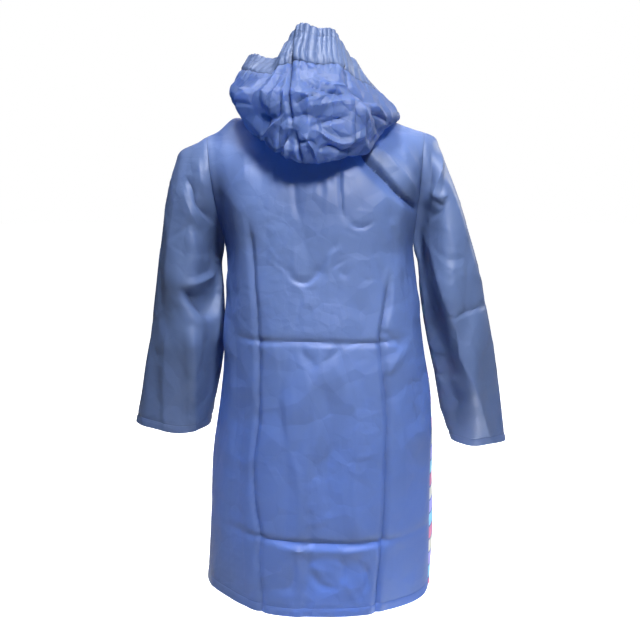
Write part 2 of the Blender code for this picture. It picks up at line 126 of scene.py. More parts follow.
SLEEVE_LEFT = (
    (0.1760, -0.014, 0.1540, -0.186, 0.000, 0.060),
    (0.1990, -0.033, 0.1558, -0.191, 0.000, 0.059),
    (0.2190, -0.056, 0.1572, -0.196, 0.000, 0.058),
    (0.2290, -0.082, 0.1582, -0.203, 0.000, 0.057),
    (0.2365, -0.118, 0.1588, -0.213, -0.001, 0.056),
    (0.2445, -0.158, 0.1578, -0.227, -0.002, 0.055),
    (0.2540, -0.206, 0.1562, -0.247, -0.004, 0.054),
    (0.2640, -0.260, 0.1550, -0.278, -0.007, 0.053),
    (0.2735, -0.316, 0.1560, -0.318, -0.011, 0.052),
    (0.2830, -0.364, 0.1615, -0.362, -0.016, 0.050),
    (0.2915, -0.414, 0.1740, -0.414, -0.023, 0.048),
    (0.3000, -0.466, 0.1865, -0.4705, -0.030, 0.046),
)
SLEEVE_RIGHT = (
    (0.1500, -0.008, 0.1400, -0.186, 0.000, 0.060),
    (0.1660, -0.022, 0.1420, -0.191, 0.000, 0.059),
    (0.1800, -0.044, 0.1440, -0.196, 0.000, 0.058),
    (0.1935, -0.074, 0.1462, -0.203, 0.000, 0.057),
    (0.2065, -0.110, 0.1485, -0.214, 0.000, 0.056),
    (0.2205, -0.152, 0.1495, -0.230, -0.001, 0.055),
    (0.2350, -0.198, 0.1508, -0.254, -0.003, 0.054),
    (0.2495, -0.250, 0.1560, -0.288, -0.006, 0.052),
    (0.2645, -0.305, 0.1660, -0.334, -0.010, 0.050),
    (0.2785, -0.363, 0.1790, -0.384, -0.015, 0.048),
    (0.2935, -0.427, 0.1965, -0.438, -0.021, 0.046),
    (0.3080, -0.494, 0.2145, -0.4945, -0.028, 0.044),
)
HOOD_COLUMNS = (
    "around", "fold_x", "fold_y", "fold_z", "bag_x", "bag_y", "bag_z", "rim_x", "rim_y", "rim_z",
)
HOOD = (
    (0.00, 0.036, -0.102, -0.046, 0.040, -0.112, -0.034, 0.036, -0.106, -0.014),
    (0.12, 0.088, -0.066, 0.012, 0.102, -0.078, 0.030, 0.090, -0.074, 0.052),
    (0.24, 0.112, 0.004, 0.018, 0.136, 0.006, 0.052, 0.114, -0.012, 0.102),
    (0.30, 0.112, 0.038, 0.006, 0.134, 0.046, 0.044, 0.104, 0.022, 0.106),
    (0.36, 0.092, 0.082, -0.018, 0.112, 0.098, 0.030, 0.078, 0.058, 0.101),
    (0.40, 0.076, 0.106, -0.034, 0.088, 0.128, 0.018, 0.059, 0.084, 0.113),
    (0.43, 0.056, 0.124, -0.048, 0.060, 0.150, 0.008, 0.042, 0.095, 0.133),
    (0.50, 0.010, 0.134, -0.056, 0.008, 0.162, 0.002, 0.008, 0.102, 0.130),
    (0.56, -0.028, 0.130, -0.050, -0.034, 0.154, 0.004, -0.019, 0.095, 0.126),
    (0.60, -0.048, 0.116, -0.040, -0.056, 0.138, 0.008, -0.036, 0.078, 0.098),
    (0.66, -0.074, 0.086, -0.016, -0.088, 0.102, 0.014, -0.058, 0.046, 0.076),
    (0.76, -0.108, 0.012, 0.008, -0.113, 0.014, 0.018, -0.086, 0.004, 0.040),
    (0.88, -0.082, -0.062, 0.002, -0.090, -0.072, 0.012, -0.078, -0.068, 0.026),
    (1.00, -0.032, -0.102, -0.046, -0.036, -0.112, -0.034, -0.032, -0.106, -0.014),
)

# ---- listed creases ------------------------------------------------------------------
# side: 1 on the back, -1 on the front. run: whether the line runs mostly down or mostly
# across. width: from the line to where its sharp part has faded to about a third. depth:
# how far it is pressed in, or raised if below 0. lean: above 0 where the left or upper
# flank is the wide one and the other is steep, below 0 the other way round. line: points
# (x, z) that the crease passes through. Width, depth and points are in millimetres.
BODY_CREASES = (
    # packing creases, down the back
    (1, "down", 3, 5.5, 0, ((109, -128), (99, -250), (96, -312), (99, -421), (106, -522),
        (103, -561), (96, -604), (98, -640), (94, -690), (95, -760))),
    (1, "down", 3.2, 7, 0, ((-96, -209), (-92, -261), (-85, -298), (-87, -352), (-92, -397),
        (-93, -496), (-91, -580), (-89, -615), (-82, -691), (-78, -760))),
    (1, "down", 5, 2.2, 0, ((-95, -93), (-96, -138), (-105, -178), (-101, -215))),
    (1, "down", 6, 1.2, 0, ((21, -353), (18, -439), (17, -514), (23, -701))),
    # packing creases, across the back
    (1, "across", 3, 3.6, 0, ((-128, -309), (-87, -315), (-31, -314), (34, -312), (89, -313),
        (141, -312))),
    (1, "across", 3, 5, 0, ((-126, -613), (-32, -615), (35, -612), (128, -606))),
    (1, "across", 4, 1.6, 0, ((-182, -602), (-130, -609), (-90, -615))),
    (1, "across", 4, 1.6, 0, ((92, -608), (130, -606), (182, -602))),
    # the pinch under the upper one, and wrinkles between the shoulder blades
    (1, "across", 5, 3, 0, ((8, -346), (26, -334), (40, -315))),
    (1, "across", 5, 2.8, 0, ((-29, -315), (-13, -333), (8, -346))),
    (1, "across", 3.5, 3.8, 0.5, ((-29, -169), (-9, -181), (4, -206), (27, -227), (48, -218),
        (65, -195))),
    (1, "across", 4, -2, 0, ((-29, -176), (-13, -183), (4, -194))),
    (1, "across", 4, 1.6, 0, ((-42, -208), (-32, -215), (-20, -208))),
    (1, "across", 4, 1.4, 0, ((3, -232), (17, -238), (34, -232))),
    # long soft folds down the skirt
    (1, "down", 11, 3, 0.5, ((64, -310), (60, -430), (52, -520), (62, -640))),
    (1, "down", 12, -3.2, -0.4, ((30, -330), (14, -430), (24, -520), (12, -600))),
    (1, "down", 10, 3.2, 0, ((8, -350), (-12, -440), (-4, -530), (-16, -590))),
    (1, "down", 13, -3.6, 0, ((-36, -330), (-50, -430), (-44, -540), (-58, -640))),
    (1, "down", 12, 3.6, 0, ((132, -300), (140, -460), (150, -600), (146, -740))),
    (1, "down", 11, -2.8, 0, ((-108, -380), (-120, -500), (-116, -640))),
    (1, "across", 3.5, -3, -0.5, ((-86, -622), (-30, -626), (30, -624), (86, -618))),
    # small pinches in the panel between the lower fold and the hem
    (1, "down", 3, 3, 0, ((46, -630), (44, -660), (50, -690))),
    (1, "down", 3, 3, 0, ((20, -650), (10, -672), (-6, -690))),
    (1, "down", 3, -3, 0, ((12, -640), (4, -664), (-14, -682))),
    (1, "down", 3, 3, 0, ((-26, -634), (-30, -660), (-26, -680))),
    (1, "down", 3.5, 3.4, 0, ((-60, -640), (-66, -670), (-60, -694))),
    # gathers that come out from under the hood
    (1, "down", 3, 2.2, 0, ((44, -60), (41, -107), (37, -136))),
    (1, "down", 3, 2, 0, ((3, -50), (2, -112))),
    (1, "down", 3, 2, 0, ((-9, -50), (-9, -92))),
    (1, "down", 2, 3.4, 0.4, ((-26, -30), (-25, -100), (-29, -130), (-42, -152))),
    (1, "across", 2.2, 2.4, 0.5, ((-77, -138), (-55, -147), (-36, -138), (-26, -116))),
    # the deep diagonal fold on the right shoulder blade and the ridge beside it
    (1, "down", 4.5, 17, 0.8, ((-26, -4), (-46, -26), (-73, -58), (-98, -84), (-138, -122),
        (-150, -140))),
    (1, "down", 6, -9, 0, ((-66, -20), (-95, -52), (-120, -80), (-142, -112))),
    (1, "down", 6, -3, 0, ((-104, -4), (-122, -36), (-140, -64), (-148, -106))),
    # left shoulder blade
    (1, "down", 8, -3, 0, ((118, -20), (115, -58), (112, -90))),
    (1, "down", 5, 1.4, 0, ((82, -130), (83, -215))),
    # small ones beside the right packing crease
    (1, "across", 4, -2, 0, ((-108, -144), (-91, -141))),
    (1, "down", 6, 3, 0, ((-84, -292), (-102, -312), (-120, -328))),
    (1, "down", 5, -2.8, 0, ((-118, -322), (-104, -344), (-90, -368))),
    (1, "down", 11, 4, 0, ((-130, -350), (-135, -401), (-145, -470))),
    # the body bears out beside the sleeves, below the armpits
    (1, "down", 6, -6, 0, ((147, -190), (147, -250), (150, -370))),
    (1, "down", 6, -5, 0, ((-142, -190), (-144, -240), (-148, -300))),
    # the puffed panel above the hem
    (1, "down", 6, 2.2, 0, ((8, -655), (-6, -677), (-22, -690))),
    (1, "down", 5, 1.8, 0, ((-48, -632), (-56, -650), (-63, -672))),
    (1, "down", 7, 2, 0, ((60, -645), (47, -685), (41, -720))),
    # the front was packed in the same folds
    (-1, "down", 4.5, 3.6, 0, ((98, -130), (95, -300), (90, -450), (82, -600), (78, -760))),
    (-1, "down", 4.5, 3.6, 0, ((-94, -120), (-98, -300), (-104, -450), (-112, -600),
        (-118, -760))),
    (-1, "across", 4.5, 2.2, 0, ((-150, -308), (-60, -314), (50, -313), (150, -310))),
    (-1, "across", 4.5, 2.6, 0, ((-160, -604), (-60, -613), (50, -612), (160, -604))),
    (-1, "down", 8, 5, 0, ((52, -60), (78, -100), (112, -150), (128, -190))),
    (-1, "down", 8, 5, 0, ((-56, -60), (-80, -110), (-108, -160), (-126, -200))),
    (-1, "down", 9, -3, 0, ((60, -330), (64, -470), (54, -590))),
    (-1, "across", 6, 2.4, 0, ((-80, -236), (-40, -250), (-10, -240))),
)
SLEEVE_LEFT_CREASES = (
    # the cap's fold, from the shoulder's tip to the armpit
    (1, "down", 4.5, 9, -0.5, ((208, -70), (187, -112), (168, -142), (158, -162))),
    (1, "down", 6, -4, 0, ((214, -82), (200, -120), (182, -156))),
    (1, "down", 6, -4, 0, ((186, -40), (182, -70), (176, -100))),
    # the elbow's wedge
    (1, "across", 5, -6, -0.3, ((214, -236), (190, -232), (160, -222))),
    (1, "down", 6, 11, -0.5, ((213, -238), (194, -266), (174, -294))),
    (1, "down", 6, -5, 0, ((222, -250), (204, -280), (188, -306))),
    # long flat faces down the arm, with soft edges between them
    (1, "down", 10, -7, 0, ((240, -290), (245, -384), (252, -500))),
    (1, "down", 8, -7.5, -0.4, ((200, -290), (200, -387), (206, -500))),
    (1, "down", 9, -5, 0, ((218, -80), (225, -124), (233, -183), (243, -262))),
    (1, "down", 8, -4, 0, ((198, -150), (190, -190), (186, -224))),
    (-1, "down", 7, 5.5, 0, ((204, -81), (187, -112), (160, -145))),
    (-1, "down", 8, 5, 0, ((230, -230), (200, -270), (180, -300))),
    (-1, "down", 9, -7, 0, ((226, -300), (232, -390), (238, -500))),
    (-1, "across", 7, 4, 0, ((162, -226), (190, -240), (222, -236))),
)
SLEEVE_RIGHT_CREASES = (
    # the cap: an upright hollow beside the seam, then a long raised edge
    (1, "down", 6, 7, 0, ((-160, -30), (-160, -70), (-156, -110))),
    (1, "down", 5, -7, 0.4, ((-176, -26), (-174, -60), (-166, -100), (-160, -130))),
    (1, "across", 4, 4.5, 0.3, ((-188, -112), (-174, -116), (-160, -106))),
    (1, "across", 4, -4, 0, ((-186, -104), (-172, -106), (-160, -98))),
    (1, "across", 4, 3.5, 0.3, ((-182, -121), (-169, -130), (-158, -138))),
    # the packing fold, a straight raised edge from armpit to cuff
    (1, "down", 9, -11, 0.2, ((-158, -140), (-168, -184), (-181, -230), (-196, -280),
        (-230, -384), (-270, -500))),
    (1, "down", 6, -5, 0, ((-178, -60), (-194, -110), (-214, -170), (-244, -262))),
    (1, "across", 3.5, 4, 0.4, ((-262, -266), (-248, -271), (-220, -277), (-186, -286))),
    (-1, "down", 8, -8, 0, ((-164, -120), (-176, -200), (-196, -300), (-236, -430))),
    (-1, "across", 6, 4.5, 0, ((-240, -262), (-205, -276), (-170, -268))),
    (-1, "across", 6, 3.5, 0, ((-200, -140), (-175, -150), (-156, -142))),
)
HOOD_CREASES = (
    # the seams of the centre strip sink in, the left one down to a pinched point
    (1, "down", 1.8, 10, 0, ((44, 125), (48, 79), (48, 29), (46, -30))),
    (1, "down", 1.8, 4, 0, ((-20, 110), (-28, 74), (-38, 44), (-62, 22), (-70, -10))),
    # sagging folds across the strip
    (1, "across", 2.2, 6.2, 0, ((-44, 34), (-12, 38), (9, 42), (26, 53), (40, 68))),
    (1, "across", 1.8, -4, 0, ((-46, 46), (-22, 48), (6, 53), (24, 64))),
    (1, "across", 1.8, 5, 0, ((2, 36), (26, 29), (46, 22))),
    (1, "across", 2.5, -4, 0, ((-50, 24), (-20, 26), (10, 20), (40, 8))),
    (1, "across", 2.5, 4.5, 0, ((-40, 8), (-10, 2), (12, -4), (28, -12))),
    # folds that fan out from the pinched point
    (1, "down", 2.5, -7.4, 0, ((46, 18), (71, -4), (97, -30))),
    (1, "down", 2.2, 8.1, 0, ((42, -10), (56, -30), (67, -55))),
    (1, "down", 1.8, -5.4, 0, ((46, 0), (51, -30), (52, -62))),
    (1, "down", 1.8, 8.1, 0, ((41, -8), (37, -28), (28, -62))),
    (1, "across", 1.8, 6.8, 0, ((6, -36), (20, -26), (33, -28), (46, -20))),
    (1, "down", 1.8, -6.1, 0, ((30, -14), (16, -34), (6, -62))),
    (1, "across", 2.2, -6.1, 0, ((-48, -24), (-19, -28), (4, -16), (20, -6))),
    (1, "across", 2.2, 7.4, 0, ((-52, -34), (-26, -40), (-6, -34), (12, -42))),
    # right side: a broad flap turned under, with a sharp edge
    (1, "across", 2.2, -5, 0, ((-92, 8), (-71, 20), (-50, 26))),
    (1, "across", 2.2, 6.5, 0, ((-98, -2), (-80, 8), (-60, 12))),
    (1, "down", 2.2, -5.5, 0, ((-44, 26), (-58, 4), (-56, -30))),
    (1, "down", 2.2, 5, 0, ((-64, 20), (-74, 0), (-76, -20))),
    # left side panel: slanting shiny crinkles
    (1, "down", 2.9, 7, 0, ((66, 100), (85, 63), (96, 40), (104, 10))),
    (1, "down", 1.6, -4, 0, ((56, 96), (76, 52), (92, 18))),
    (1, "down", 1.4, 4, 0, ((58, 74), (72, 44), (86, 12))),
    (1, "down", 1.4, -4, 0, ((52, 70), (66, 36), (80, 2))),
    (1, "down", 1.1, 5.5, 0, ((52, 48), (60, 24), (72, -4))),
    (1, "across", 1.8, 4, 0, ((60, 12), (78, 6), (102, 12))),
    (1, "across", 2.2, -4, 0, ((94, 36), (112, 44), (130, 40))),
    (1, "across", 1.8, 4, 0, ((96, 22), (112, 28), (128, 22))),
)

# ---- listed larger shapes ------------------------------------------------------------
# Everything within about (rx, ry, rz) of (x, y, z) is moved by (dx, dy, dz): a row is those
# nine numbers, in millimetres.
BODY_PUSHES = (
    # the armholes draw in deep between the body and the sleeves
    (158, 55, -160, 22, 55, 80, 0, -40, 0),
    (-146, 55, -145, 22, 55, 80, 0, -42, 0),
    # a crumpled pile on the left shoulder
    (134, 0, 0, 20, 30, 20, 2, 0, 13),
    # square tips of the shoulders
    (206, 0, -44, 14, 30, 14, 6, 0, 1),
    (-166, 0, -20, 18, 40, 14, -5, 0, 3),
    # the left elbow caves in under the upper arm, and the sleeve below it bears out
    (176, 45, -262, 30, 30, 22, 0, -18, 0),
    (222, 45, -232, 26, 30, 30, 0, 6, 0),
    (196, 45, -330, 30, 30, 34, 0, 6, 0),
    # the sleeves are folded flat: a face that looks inward and one that looks outward
    (204, 40, -390, 18, 40, 90, 0, 8, 0),
    (258, 30, -370, 24, 40, 120, 0, -10, 0),
    (-190, 45, -260, 16, 40, 70, 0, 8, 0),
    (-230, 35, -390, 18, 40, 80, 0, 10, 0),
    (168, 35, -210, 16, 50, 60, 0, -25, 0),
    (174, 35, -400, 16, 50, 90, 0, -22, 0),
    (-158, 35, -200, 16, 50, 60, 0, -24, 0),
    (-172, 35, -300, 18, 50, 60, 0, -24, 0),
    (-196, 30, -390, 20, 50, 60, 0, -22, 0),
    (-214, 20, -480, 20, 50, 60, 0, -22, 0),
    (-230, 20, -570, 20, 50, 60, 0, -22, 0),
    # the cuffs hang lower behind, the hem higher at its corners
    (222, 30, -472, 34, 40, 30, 0, 0, -9),
    (-228, 30, -494, 26, 40, 30, 0, 0, -8),
    (165, 60, -710, 60, 100, 40, 0, 0, 8),
    (-170, 30, -705, 22, 60, 35, 0, 0, 8),
)
HOOD_PUSHES = (
    # the left side panel bears out between the seam and the lobe's edge
    (88, 90, 50, 22, 50, 34, 0, 6, 4),
    # under it the bag is drawn in to the pinched point of the seam
    (50, 150, -24, 12, 50, 16, 0, -10, 4),
    (-60, 120, 20, 20, 50, 14, 0, 7, -3),
)


# ---- reading the tables --------------------------------------------------------------
def column(table, names, name):
    """One named column of a table."""
    return np.array([row[names.index(name)] for row in table], float)


def smooth(at, knots, values):
    """Values at the places asked for, on a cubic through the table's own rows.
    Its slope at a row is the mean slope of the stretches on both sides of it."""
    slope = np.gradient(values, knots, axis=0)
    i = np.clip(np.searchsorted(knots, at) - 1, 0, len(knots) - 2)
    each = i.shape + (1,) * (values.ndim - 1)
    span = (knots[i + 1] - knots[i]).reshape(each)
    t = (at - knots[i]).reshape(each) / span
    return (
        (2 * t**3 - 3 * t**2 + 1) * values[i]
        + (t**3 - 2 * t**2 + t) * span * slope[i]
        + (3 * t**2 - 2 * t**3) * values[i + 1]
        + (t**3 - t**2) * span * slope[i + 1]
    )


def ease(x):
    """0 below 0, 1 above 1, and 3x^2 - 2x^3 between."""
    x = np.clip(x, 0, 1)
    return x * x * (3 - 2 * x)


# ---- the coat's surface --------------------------------------------------------------
def rounded(angle):
    """Sine and cosine, their sizes raised to 2 / SQUARENESS: a rounded oblong."""
    power = 2.0 / SQUARENESS
    s, c = np.sin(angle), np.cos(angle)
    return np.sign(s) * np.abs(s) ** power, np.sign(c) * np.abs(c) ** power


def skirt(across, height, is_back):
    """The body below the armpits: at each height a rounded oblong of the table's width
    and depth, whose side seams have turned. across is -1 at the right seam and 1 at the
    left; height is 0 at the hem and 1 at the armpit."""
    knots = np.linspace(0.0, 1.0, len(TORSO))
    row = {n: smooth(height, knots, column(TORSO, TORSO_COLUMNS, n)) for n in TORSO_COLUMNS}
    turn = np.radians(row["turn"])
    quarter = np.pi / 2
    if is_back:
        angle = across * np.where(across > 0, quarter + turn, quarter - turn)
    else:
        angle = np.pi + turn - across * quarter
    s, c = rounded(angle)
    width = np.where(s > 0, row["left_w"], row["right_w"])
    depth = np.where(c > 0, row["back_y"], row["front_y"])
    drop = np.where(c > 0, row["back_drop"], row["front_drop"])
    return np.stack([width * s, depth * c, row["side_z"] - drop * np.abs(c)], axis=-1)


def armhole(rise, side, is_back):
    """The sleeve seam: half an ellipse from the armpit (rise 0) to the shoulder (1)."""
    first = (SLEEVE_LEFT if side > 0 else SLEEVE_RIGHT)[0]
    outer_x, outer_z, inner_x, inner_z, mid_y, half_depth = first
    up = 0.5 - 0.5 * np.cos(np.pi * rise)
    x = inner_x + (outer_x - inner_x) * up
    y = mid_y + half_depth * np.sin(np.pi * rise) * (1 if is_back else -1)
    z = inner_z + (outer_z - inner_z) * up
    return np.stack([side * x, y, z], axis=-1)


def top_edge(across, side, is_back):
    """The neckline's quarter arc, then the straight shoulder seam out to the sleeve."""
    depth, height = BACK_NECK if is_back else FRONT_NECK
    arc = np.clip(across / NECK_SHARE, -1, 1) * np.pi / 2
    x = side * NECK_HALF_WIDTH * np.sin(arc)
    z = NECK_POINT_Z + (height - NECK_POINT_Z) * np.cos(arc)
    neck = np.stack([x, depth * np.cos(arc), z], axis=-1)
    tip = armhole(np.array(1.0), side, is_back)
    point = np.array([side * NECK_HALF_WIDTH, 0.0, NECK_POINT_Z])
    along = np.clip((across - NECK_SHARE) / (1 - NECK_SHARE), 0, 1)[..., None]
    return np.where(along > 0, point + (tip - point) * along, neck)


def yoke(across, rise, side, is_back):
    """The body above the armpits: the same rounded sections, cut off where the sleeve
    seam crosses them, and drawn in to the neckline over the last stretch (rise^4)."""

    def section(rise):
        middle_y = abs(smooth(rise, knots, column(YOKE, YOKE_COLUMNS, face + "_y")))
        middle_z = smooth(rise, knots, column(YOKE, YOKE_COLUMNS, face + "_z"))
        end_x, end_y, end_z = np.moveaxis(armhole(rise, side, is_back), -1, 0)
        end_c = abs(end_y) / middle_y
        end_angle = np.arccos(end_c ** (SQUARENESS / 2))
        s, c = rounded(across * end_angle)
        x = end_x * s / rounded(end_angle)[0]
        z = end_z + (middle_z - end_z) * (c - end_c) / (1 - end_c)
        return np.stack([x, middle_y * c * (1 if is_back else -1), z], axis=-1)

    knots = column(YOKE, YOKE_COLUMNS, "rise")
    face = "back" if is_back else "front"
    draw_in = (rise**4)[..., None]
    return section(rise) + draw_in * (top_edge(across, side, is_back) - section(rise * 0 + 1))


def body_part(across, height, side, is_back):
    """A grid of the body to one side of the centre; height is 0 at the hem, 1 at the
    armpit and 2 at the neckline."""
    a, h = np.meshgrid(across, height)
    low = skirt(side * a, np.clip(h, 0, 1), is_back)
    high = yoke(a, np.clip(h - 1, 0, 1), side, is_back)
    return np.where((h > 1)[..., None], high, low)


def body_heights(rows):
    """The rows' heights, spread so that they lie about evenly on the cloth."""
    return np.interp(np.linspace(0, 1, rows + 1), [0, 0.72, 1], [0, 1, 2])


def back_grid():
    """The one-piece back, from the left side seam to the right one."""
    columns, rows = BACK_QUADS
    across = np.linspace(0, 1, columns // 2 + 1)
    left = body_part(across, body_heights(rows), 1, True)
    right = body_part(across, body_heights(rows), -1, True)
    return np.concatenate([left[:, :0:-1], right], axis=1)


def front_grid(side):
    """A front, from past the centre to its side seam."""
    columns, rows = FRONT_QUADS
    lap = np.linspace(-LAP, 0, LAP_QUADS + 1)[:-1]
    across = np.concatenate([lap, np.linspace(0, 1, columns - LAP_QUADS + 1)])
    return body_part(across, body_heights(rows), side, False)


def sleeve_grid(side):
    """A sleeve's rings from armhole to cuff: ellipses between an outer and an inner
    point, through the table's rings. The first ring is the armhole seam."""
    table = SLEEVE_LEFT if side > 0 else SLEEVE_RIGHT
    columns, rows = SLEEVE_QUADS
    ring = np.linspace(0, len(table) - 1, rows + 1)
    turn = np.linspace(0, 2 * np.pi, columns + 1)[None, :-1]
    knots = np.arange(len(table), dtype=float)
    outer_x, outer_z, inner_x, inner_z, mid_y, half_depth = (
        smooth(ring, knots, column(table, SLEEVE_COLUMNS, n))[:, None] for n in SLEEVE_COLUMNS
    )
    out = 0.5 - 0.5 * np.cos(turn)
    x = inner_x + (outer_x - inner_x) * out
    z = inner_z + (outer_z - inner_z) * out
    y = mid_y + half_depth * np.sin(turn)
    return np.stack([side * x, y, z], axis=-1)


def hood_grid():
    """The hood as columns round the neck and rows from the neck seam (0) to the brim
    (1): each column is a smooth curve through its section's four named points."""
    columns, rows = HOOD_QUADS
    around = np.linspace(0, 1, columns + 1)
    knots = column(HOOD, HOOD_COLUMNS, "around")
    angle = (around - 0.5) * 2 * np.pi * HOOD_REACH
    back = np.cos(angle) > 0
    drop = NECK_POINT_Z - np.where(back, BACK_NECK[1], FRONT_NECK[1])
    x = -NECK_HALF_WIDTH * np.sin(angle)
    y = np.where(back, BACK_NECK[0], -FRONT_NECK[0]) * np.cos(angle)
    z = NECK_POINT_Z - drop * np.abs(np.cos(angle)) + HOOD_LIFT
    seam = np.stack([x, y, z], axis=-1)

    def place(name):
        values = [column(HOOD, HOOD_COLUMNS, f"{name}_{axis}") for axis in "xyz"]
        return np.stack([smooth(around, knots, v) for v in values], axis=-1)

    stops = np.stack([seam, place("fold"), place("bag"), place("rim")])
    return smooth(np.linspace(0, 1, rows + 1), np.array(HOOD_STOPS), stops)


# ---- measuring a grid ----------------------------------------------------------------
def normals_of(grid, closed=False):
    """Unit normals: the cross product of the steps along a row and along a column."""
    if closed:
        along = np.roll(grid, -1, 1) - np.roll(grid, 1, 1)
    else:
        along = np.gradient(grid, axis=1)
    normal = np.cross(along, np.gradient(grid, axis=0))
    return normal / np.maximum(np.linalg.norm(normal, axis=-1, keepdims=True), 1e-12)


def lengths(grid, axis):
    """Distance along the grid from its first row (axis 0) or column (axis 1)."""
    steps = np.linalg.norm(np.diff(grid, axis=axis), axis=-1)
    total = np.cumsum(steps, axis=axis)
    return np.concatenate([np.zeros_like(np.take(total, [0], axis)), total], axis=axis)


# ---- creases -------------------------------------------------------------------------
def pushed(points, pushes):
    """The points, moved by the table's vectors times exp(-r^2) around its places."""
    moved = points.copy()
    for row in np.array(pushes) / 1000:
        away = (points - row[:3]) / row[3:6]
        moved += np.exp(-(away**2).sum(axis=-1))[..., None] * row[6:]
    return moved


def facing(y, blend):
    """Shares of the back (1) and of the front (-1) at each point, from its distance
    behind the middle: the share grows from 0 to 1 over the blend."""
    return {side: ease(side * y / blend) for side in (1, -1)}


def creased(points, creases, shares):
    """Height off the surface from a table of creases, and a mark of 1 on the deep ones'
    lines, where the material paints shade into the film's colour and makes it rougher.
    Across a line the height is a sharp trough between wider flat flanks,
    -0.4 exp(-|s| / width) - 0.6 max(0, 1 - |s| / (2.5 width)); along it the depth comes
    and goes, and fades out at both ends."""
    x, z = points[..., 0], points[..., 2]
    height = np.zeros(x.shape)
    mark = np.zeros(x.shape)
    for number, (side, run, width, depth, lean, line) in enumerate(creases):
        width, depth = width / 1000, depth / 1000
        line_x, line_z = np.array(line).T / 1000
        if run == "down":
            along, across, knots, values = z, x, line_z, line_x
        else:
            along, across, knots, values = x, z, line_x, line_z
        order = np.argsort(knots)
        knots, values = knots[order], values[order]
        at = np.clip(along, knots[0], knots[-1])
        slope = np.interp(at, knots, np.gradient(values, knots))
        s = (across - smooth(at, knots, values)) / np.sqrt(1 + slope**2)
        reach = 0.35 * min(0.14, knots[-1] - knots[0])
        ends = np.minimum(along - knots[0], knots[-1] - along)
        strength = ease(ends / reach) * shares[side]
        strength = strength * (0.92 + 0.08 * np.sin(70 * at + 5 * number))
        near = np.abs(s) / (width * (1 + 0.85 * lean * np.sign(s)))
        height -= depth * strength * (0.4 * np.exp(-near) + 0.6 * np.clip(1 - near / 2.5, 0, 1))
        deep = ease((depth - 0.003) / 0.002)
        mark = np.maximum(mark, strength * np.exp(-((s / 0.0016) ** 2)) * deep)
    return height, mark


def crumpled(points, normals, seed, count, length, width, depth, lean=(0.0, 0.0, 0.0)):
    """Height off the surface from many short folds laid at random: each is a straight
    ridge or trough with flat sides, 1 - |s| / width, fading out towards its ends.
    lean pulls the folds' directions towards one direction."""
    rng = np.random.default_rng(seed)
    flat, flat_normals = points.reshape(-1, 3), normals.reshape(-1, 3)
    height = np.zeros(len(flat))
    for pick in rng.integers(len(flat), size=count):
        normal = flat_normals[pick]
        direction = np.cross(normal, np.cross(rng.normal(size=3) + np.array(lean), normal))
        direction /= np.linalg.norm(direction)
        offset = flat - flat[pick]
        a = offset @ direction / (length * rng.uniform(0.5, 1.5))
        s = offset @ np.cross(normal, direction) / (width * rng.uniform(0.6, 1.5))
        deep = np.exp(-((offset @ normal / 0.025) ** 2))
        size = depth * rng.uniform(0.3, 1.0) * rng.choice([-1.0, 1.0])
        bend = s + 0.5 * rng.normal() * a * a
        height += size * np.clip(1 - np.abs(bend), 0, 1) * np.clip(1 - a * a, 0, 1) ** 2 * deep
    return height.reshape(points.shape[:-1])


def swell(points, seed, wavelength, depth, waves=7):
    """Height off the surface from a few long waves of random direction and phase.
    wavelength has one value for each axis."""
    rng = np.random.default_rng(seed)
    height = np.zeros(points.shape[:-1])
    for _ in range(waves):
        direction = rng.normal(size=3)
        direction *= 2 * np.pi / (np.linalg.norm(direction) * np.array(wavelength))
        height += np.sin(points @ direction + rng.uniform(0, 2 * np.pi))
    return depth * height / np.sqrt(waves)


def faceted(points, seed, size, slope, stretch=(1.0, 1.0, 1.0)):
    """Height off the surface in flat facets with sharp edges, as in crumpled film: the
    squared distance to the nearest of some scattered points, less that to the nearest
    of another set, is flat wherever neither of the nearest points changes. stretch
    scales the axes first, so that less than 1 makes long facets along that axis."""
    rng = np.random.default_rng(seed)
    flat = points.reshape(-1, 3) * np.array(stretch)
    grid = flat.reshape(points.shape)
    cells = np.cross(np.gradient(grid, axis=0), np.gradient(grid, axis=1))
    count = int(np.linalg.norm(cells, axis=-1).sum() / size**2)
    height = np.zeros(len(flat))
    for sign in (1, -1):
        near = np.full(len(flat), np.inf)
        for place in flat[rng.integers(len(flat), size=count)]:
            near = np.minimum(near, ((flat - place) ** 2).sum(axis=-1))
        height += sign * near
    return (slope / size) * height.reshape(points.shape[:-1])


# ---- meshes --------------------------------------------------------------------------
def grid_quads(rows, columns, closed):
    """Quads of a grid of points, as indices into its flattened rows."""
    last = columns if closed else columns - 1
    r, c = np.meshgrid(np.arange(rows - 1), np.arange(last), indexing="ij")
    n = (c + 1) % columns
    low, high = r * columns, (r + 1) * columns
    return np.stack([low + c, low + n, high + n, high + c], axis=-1).reshape(-1, 4)


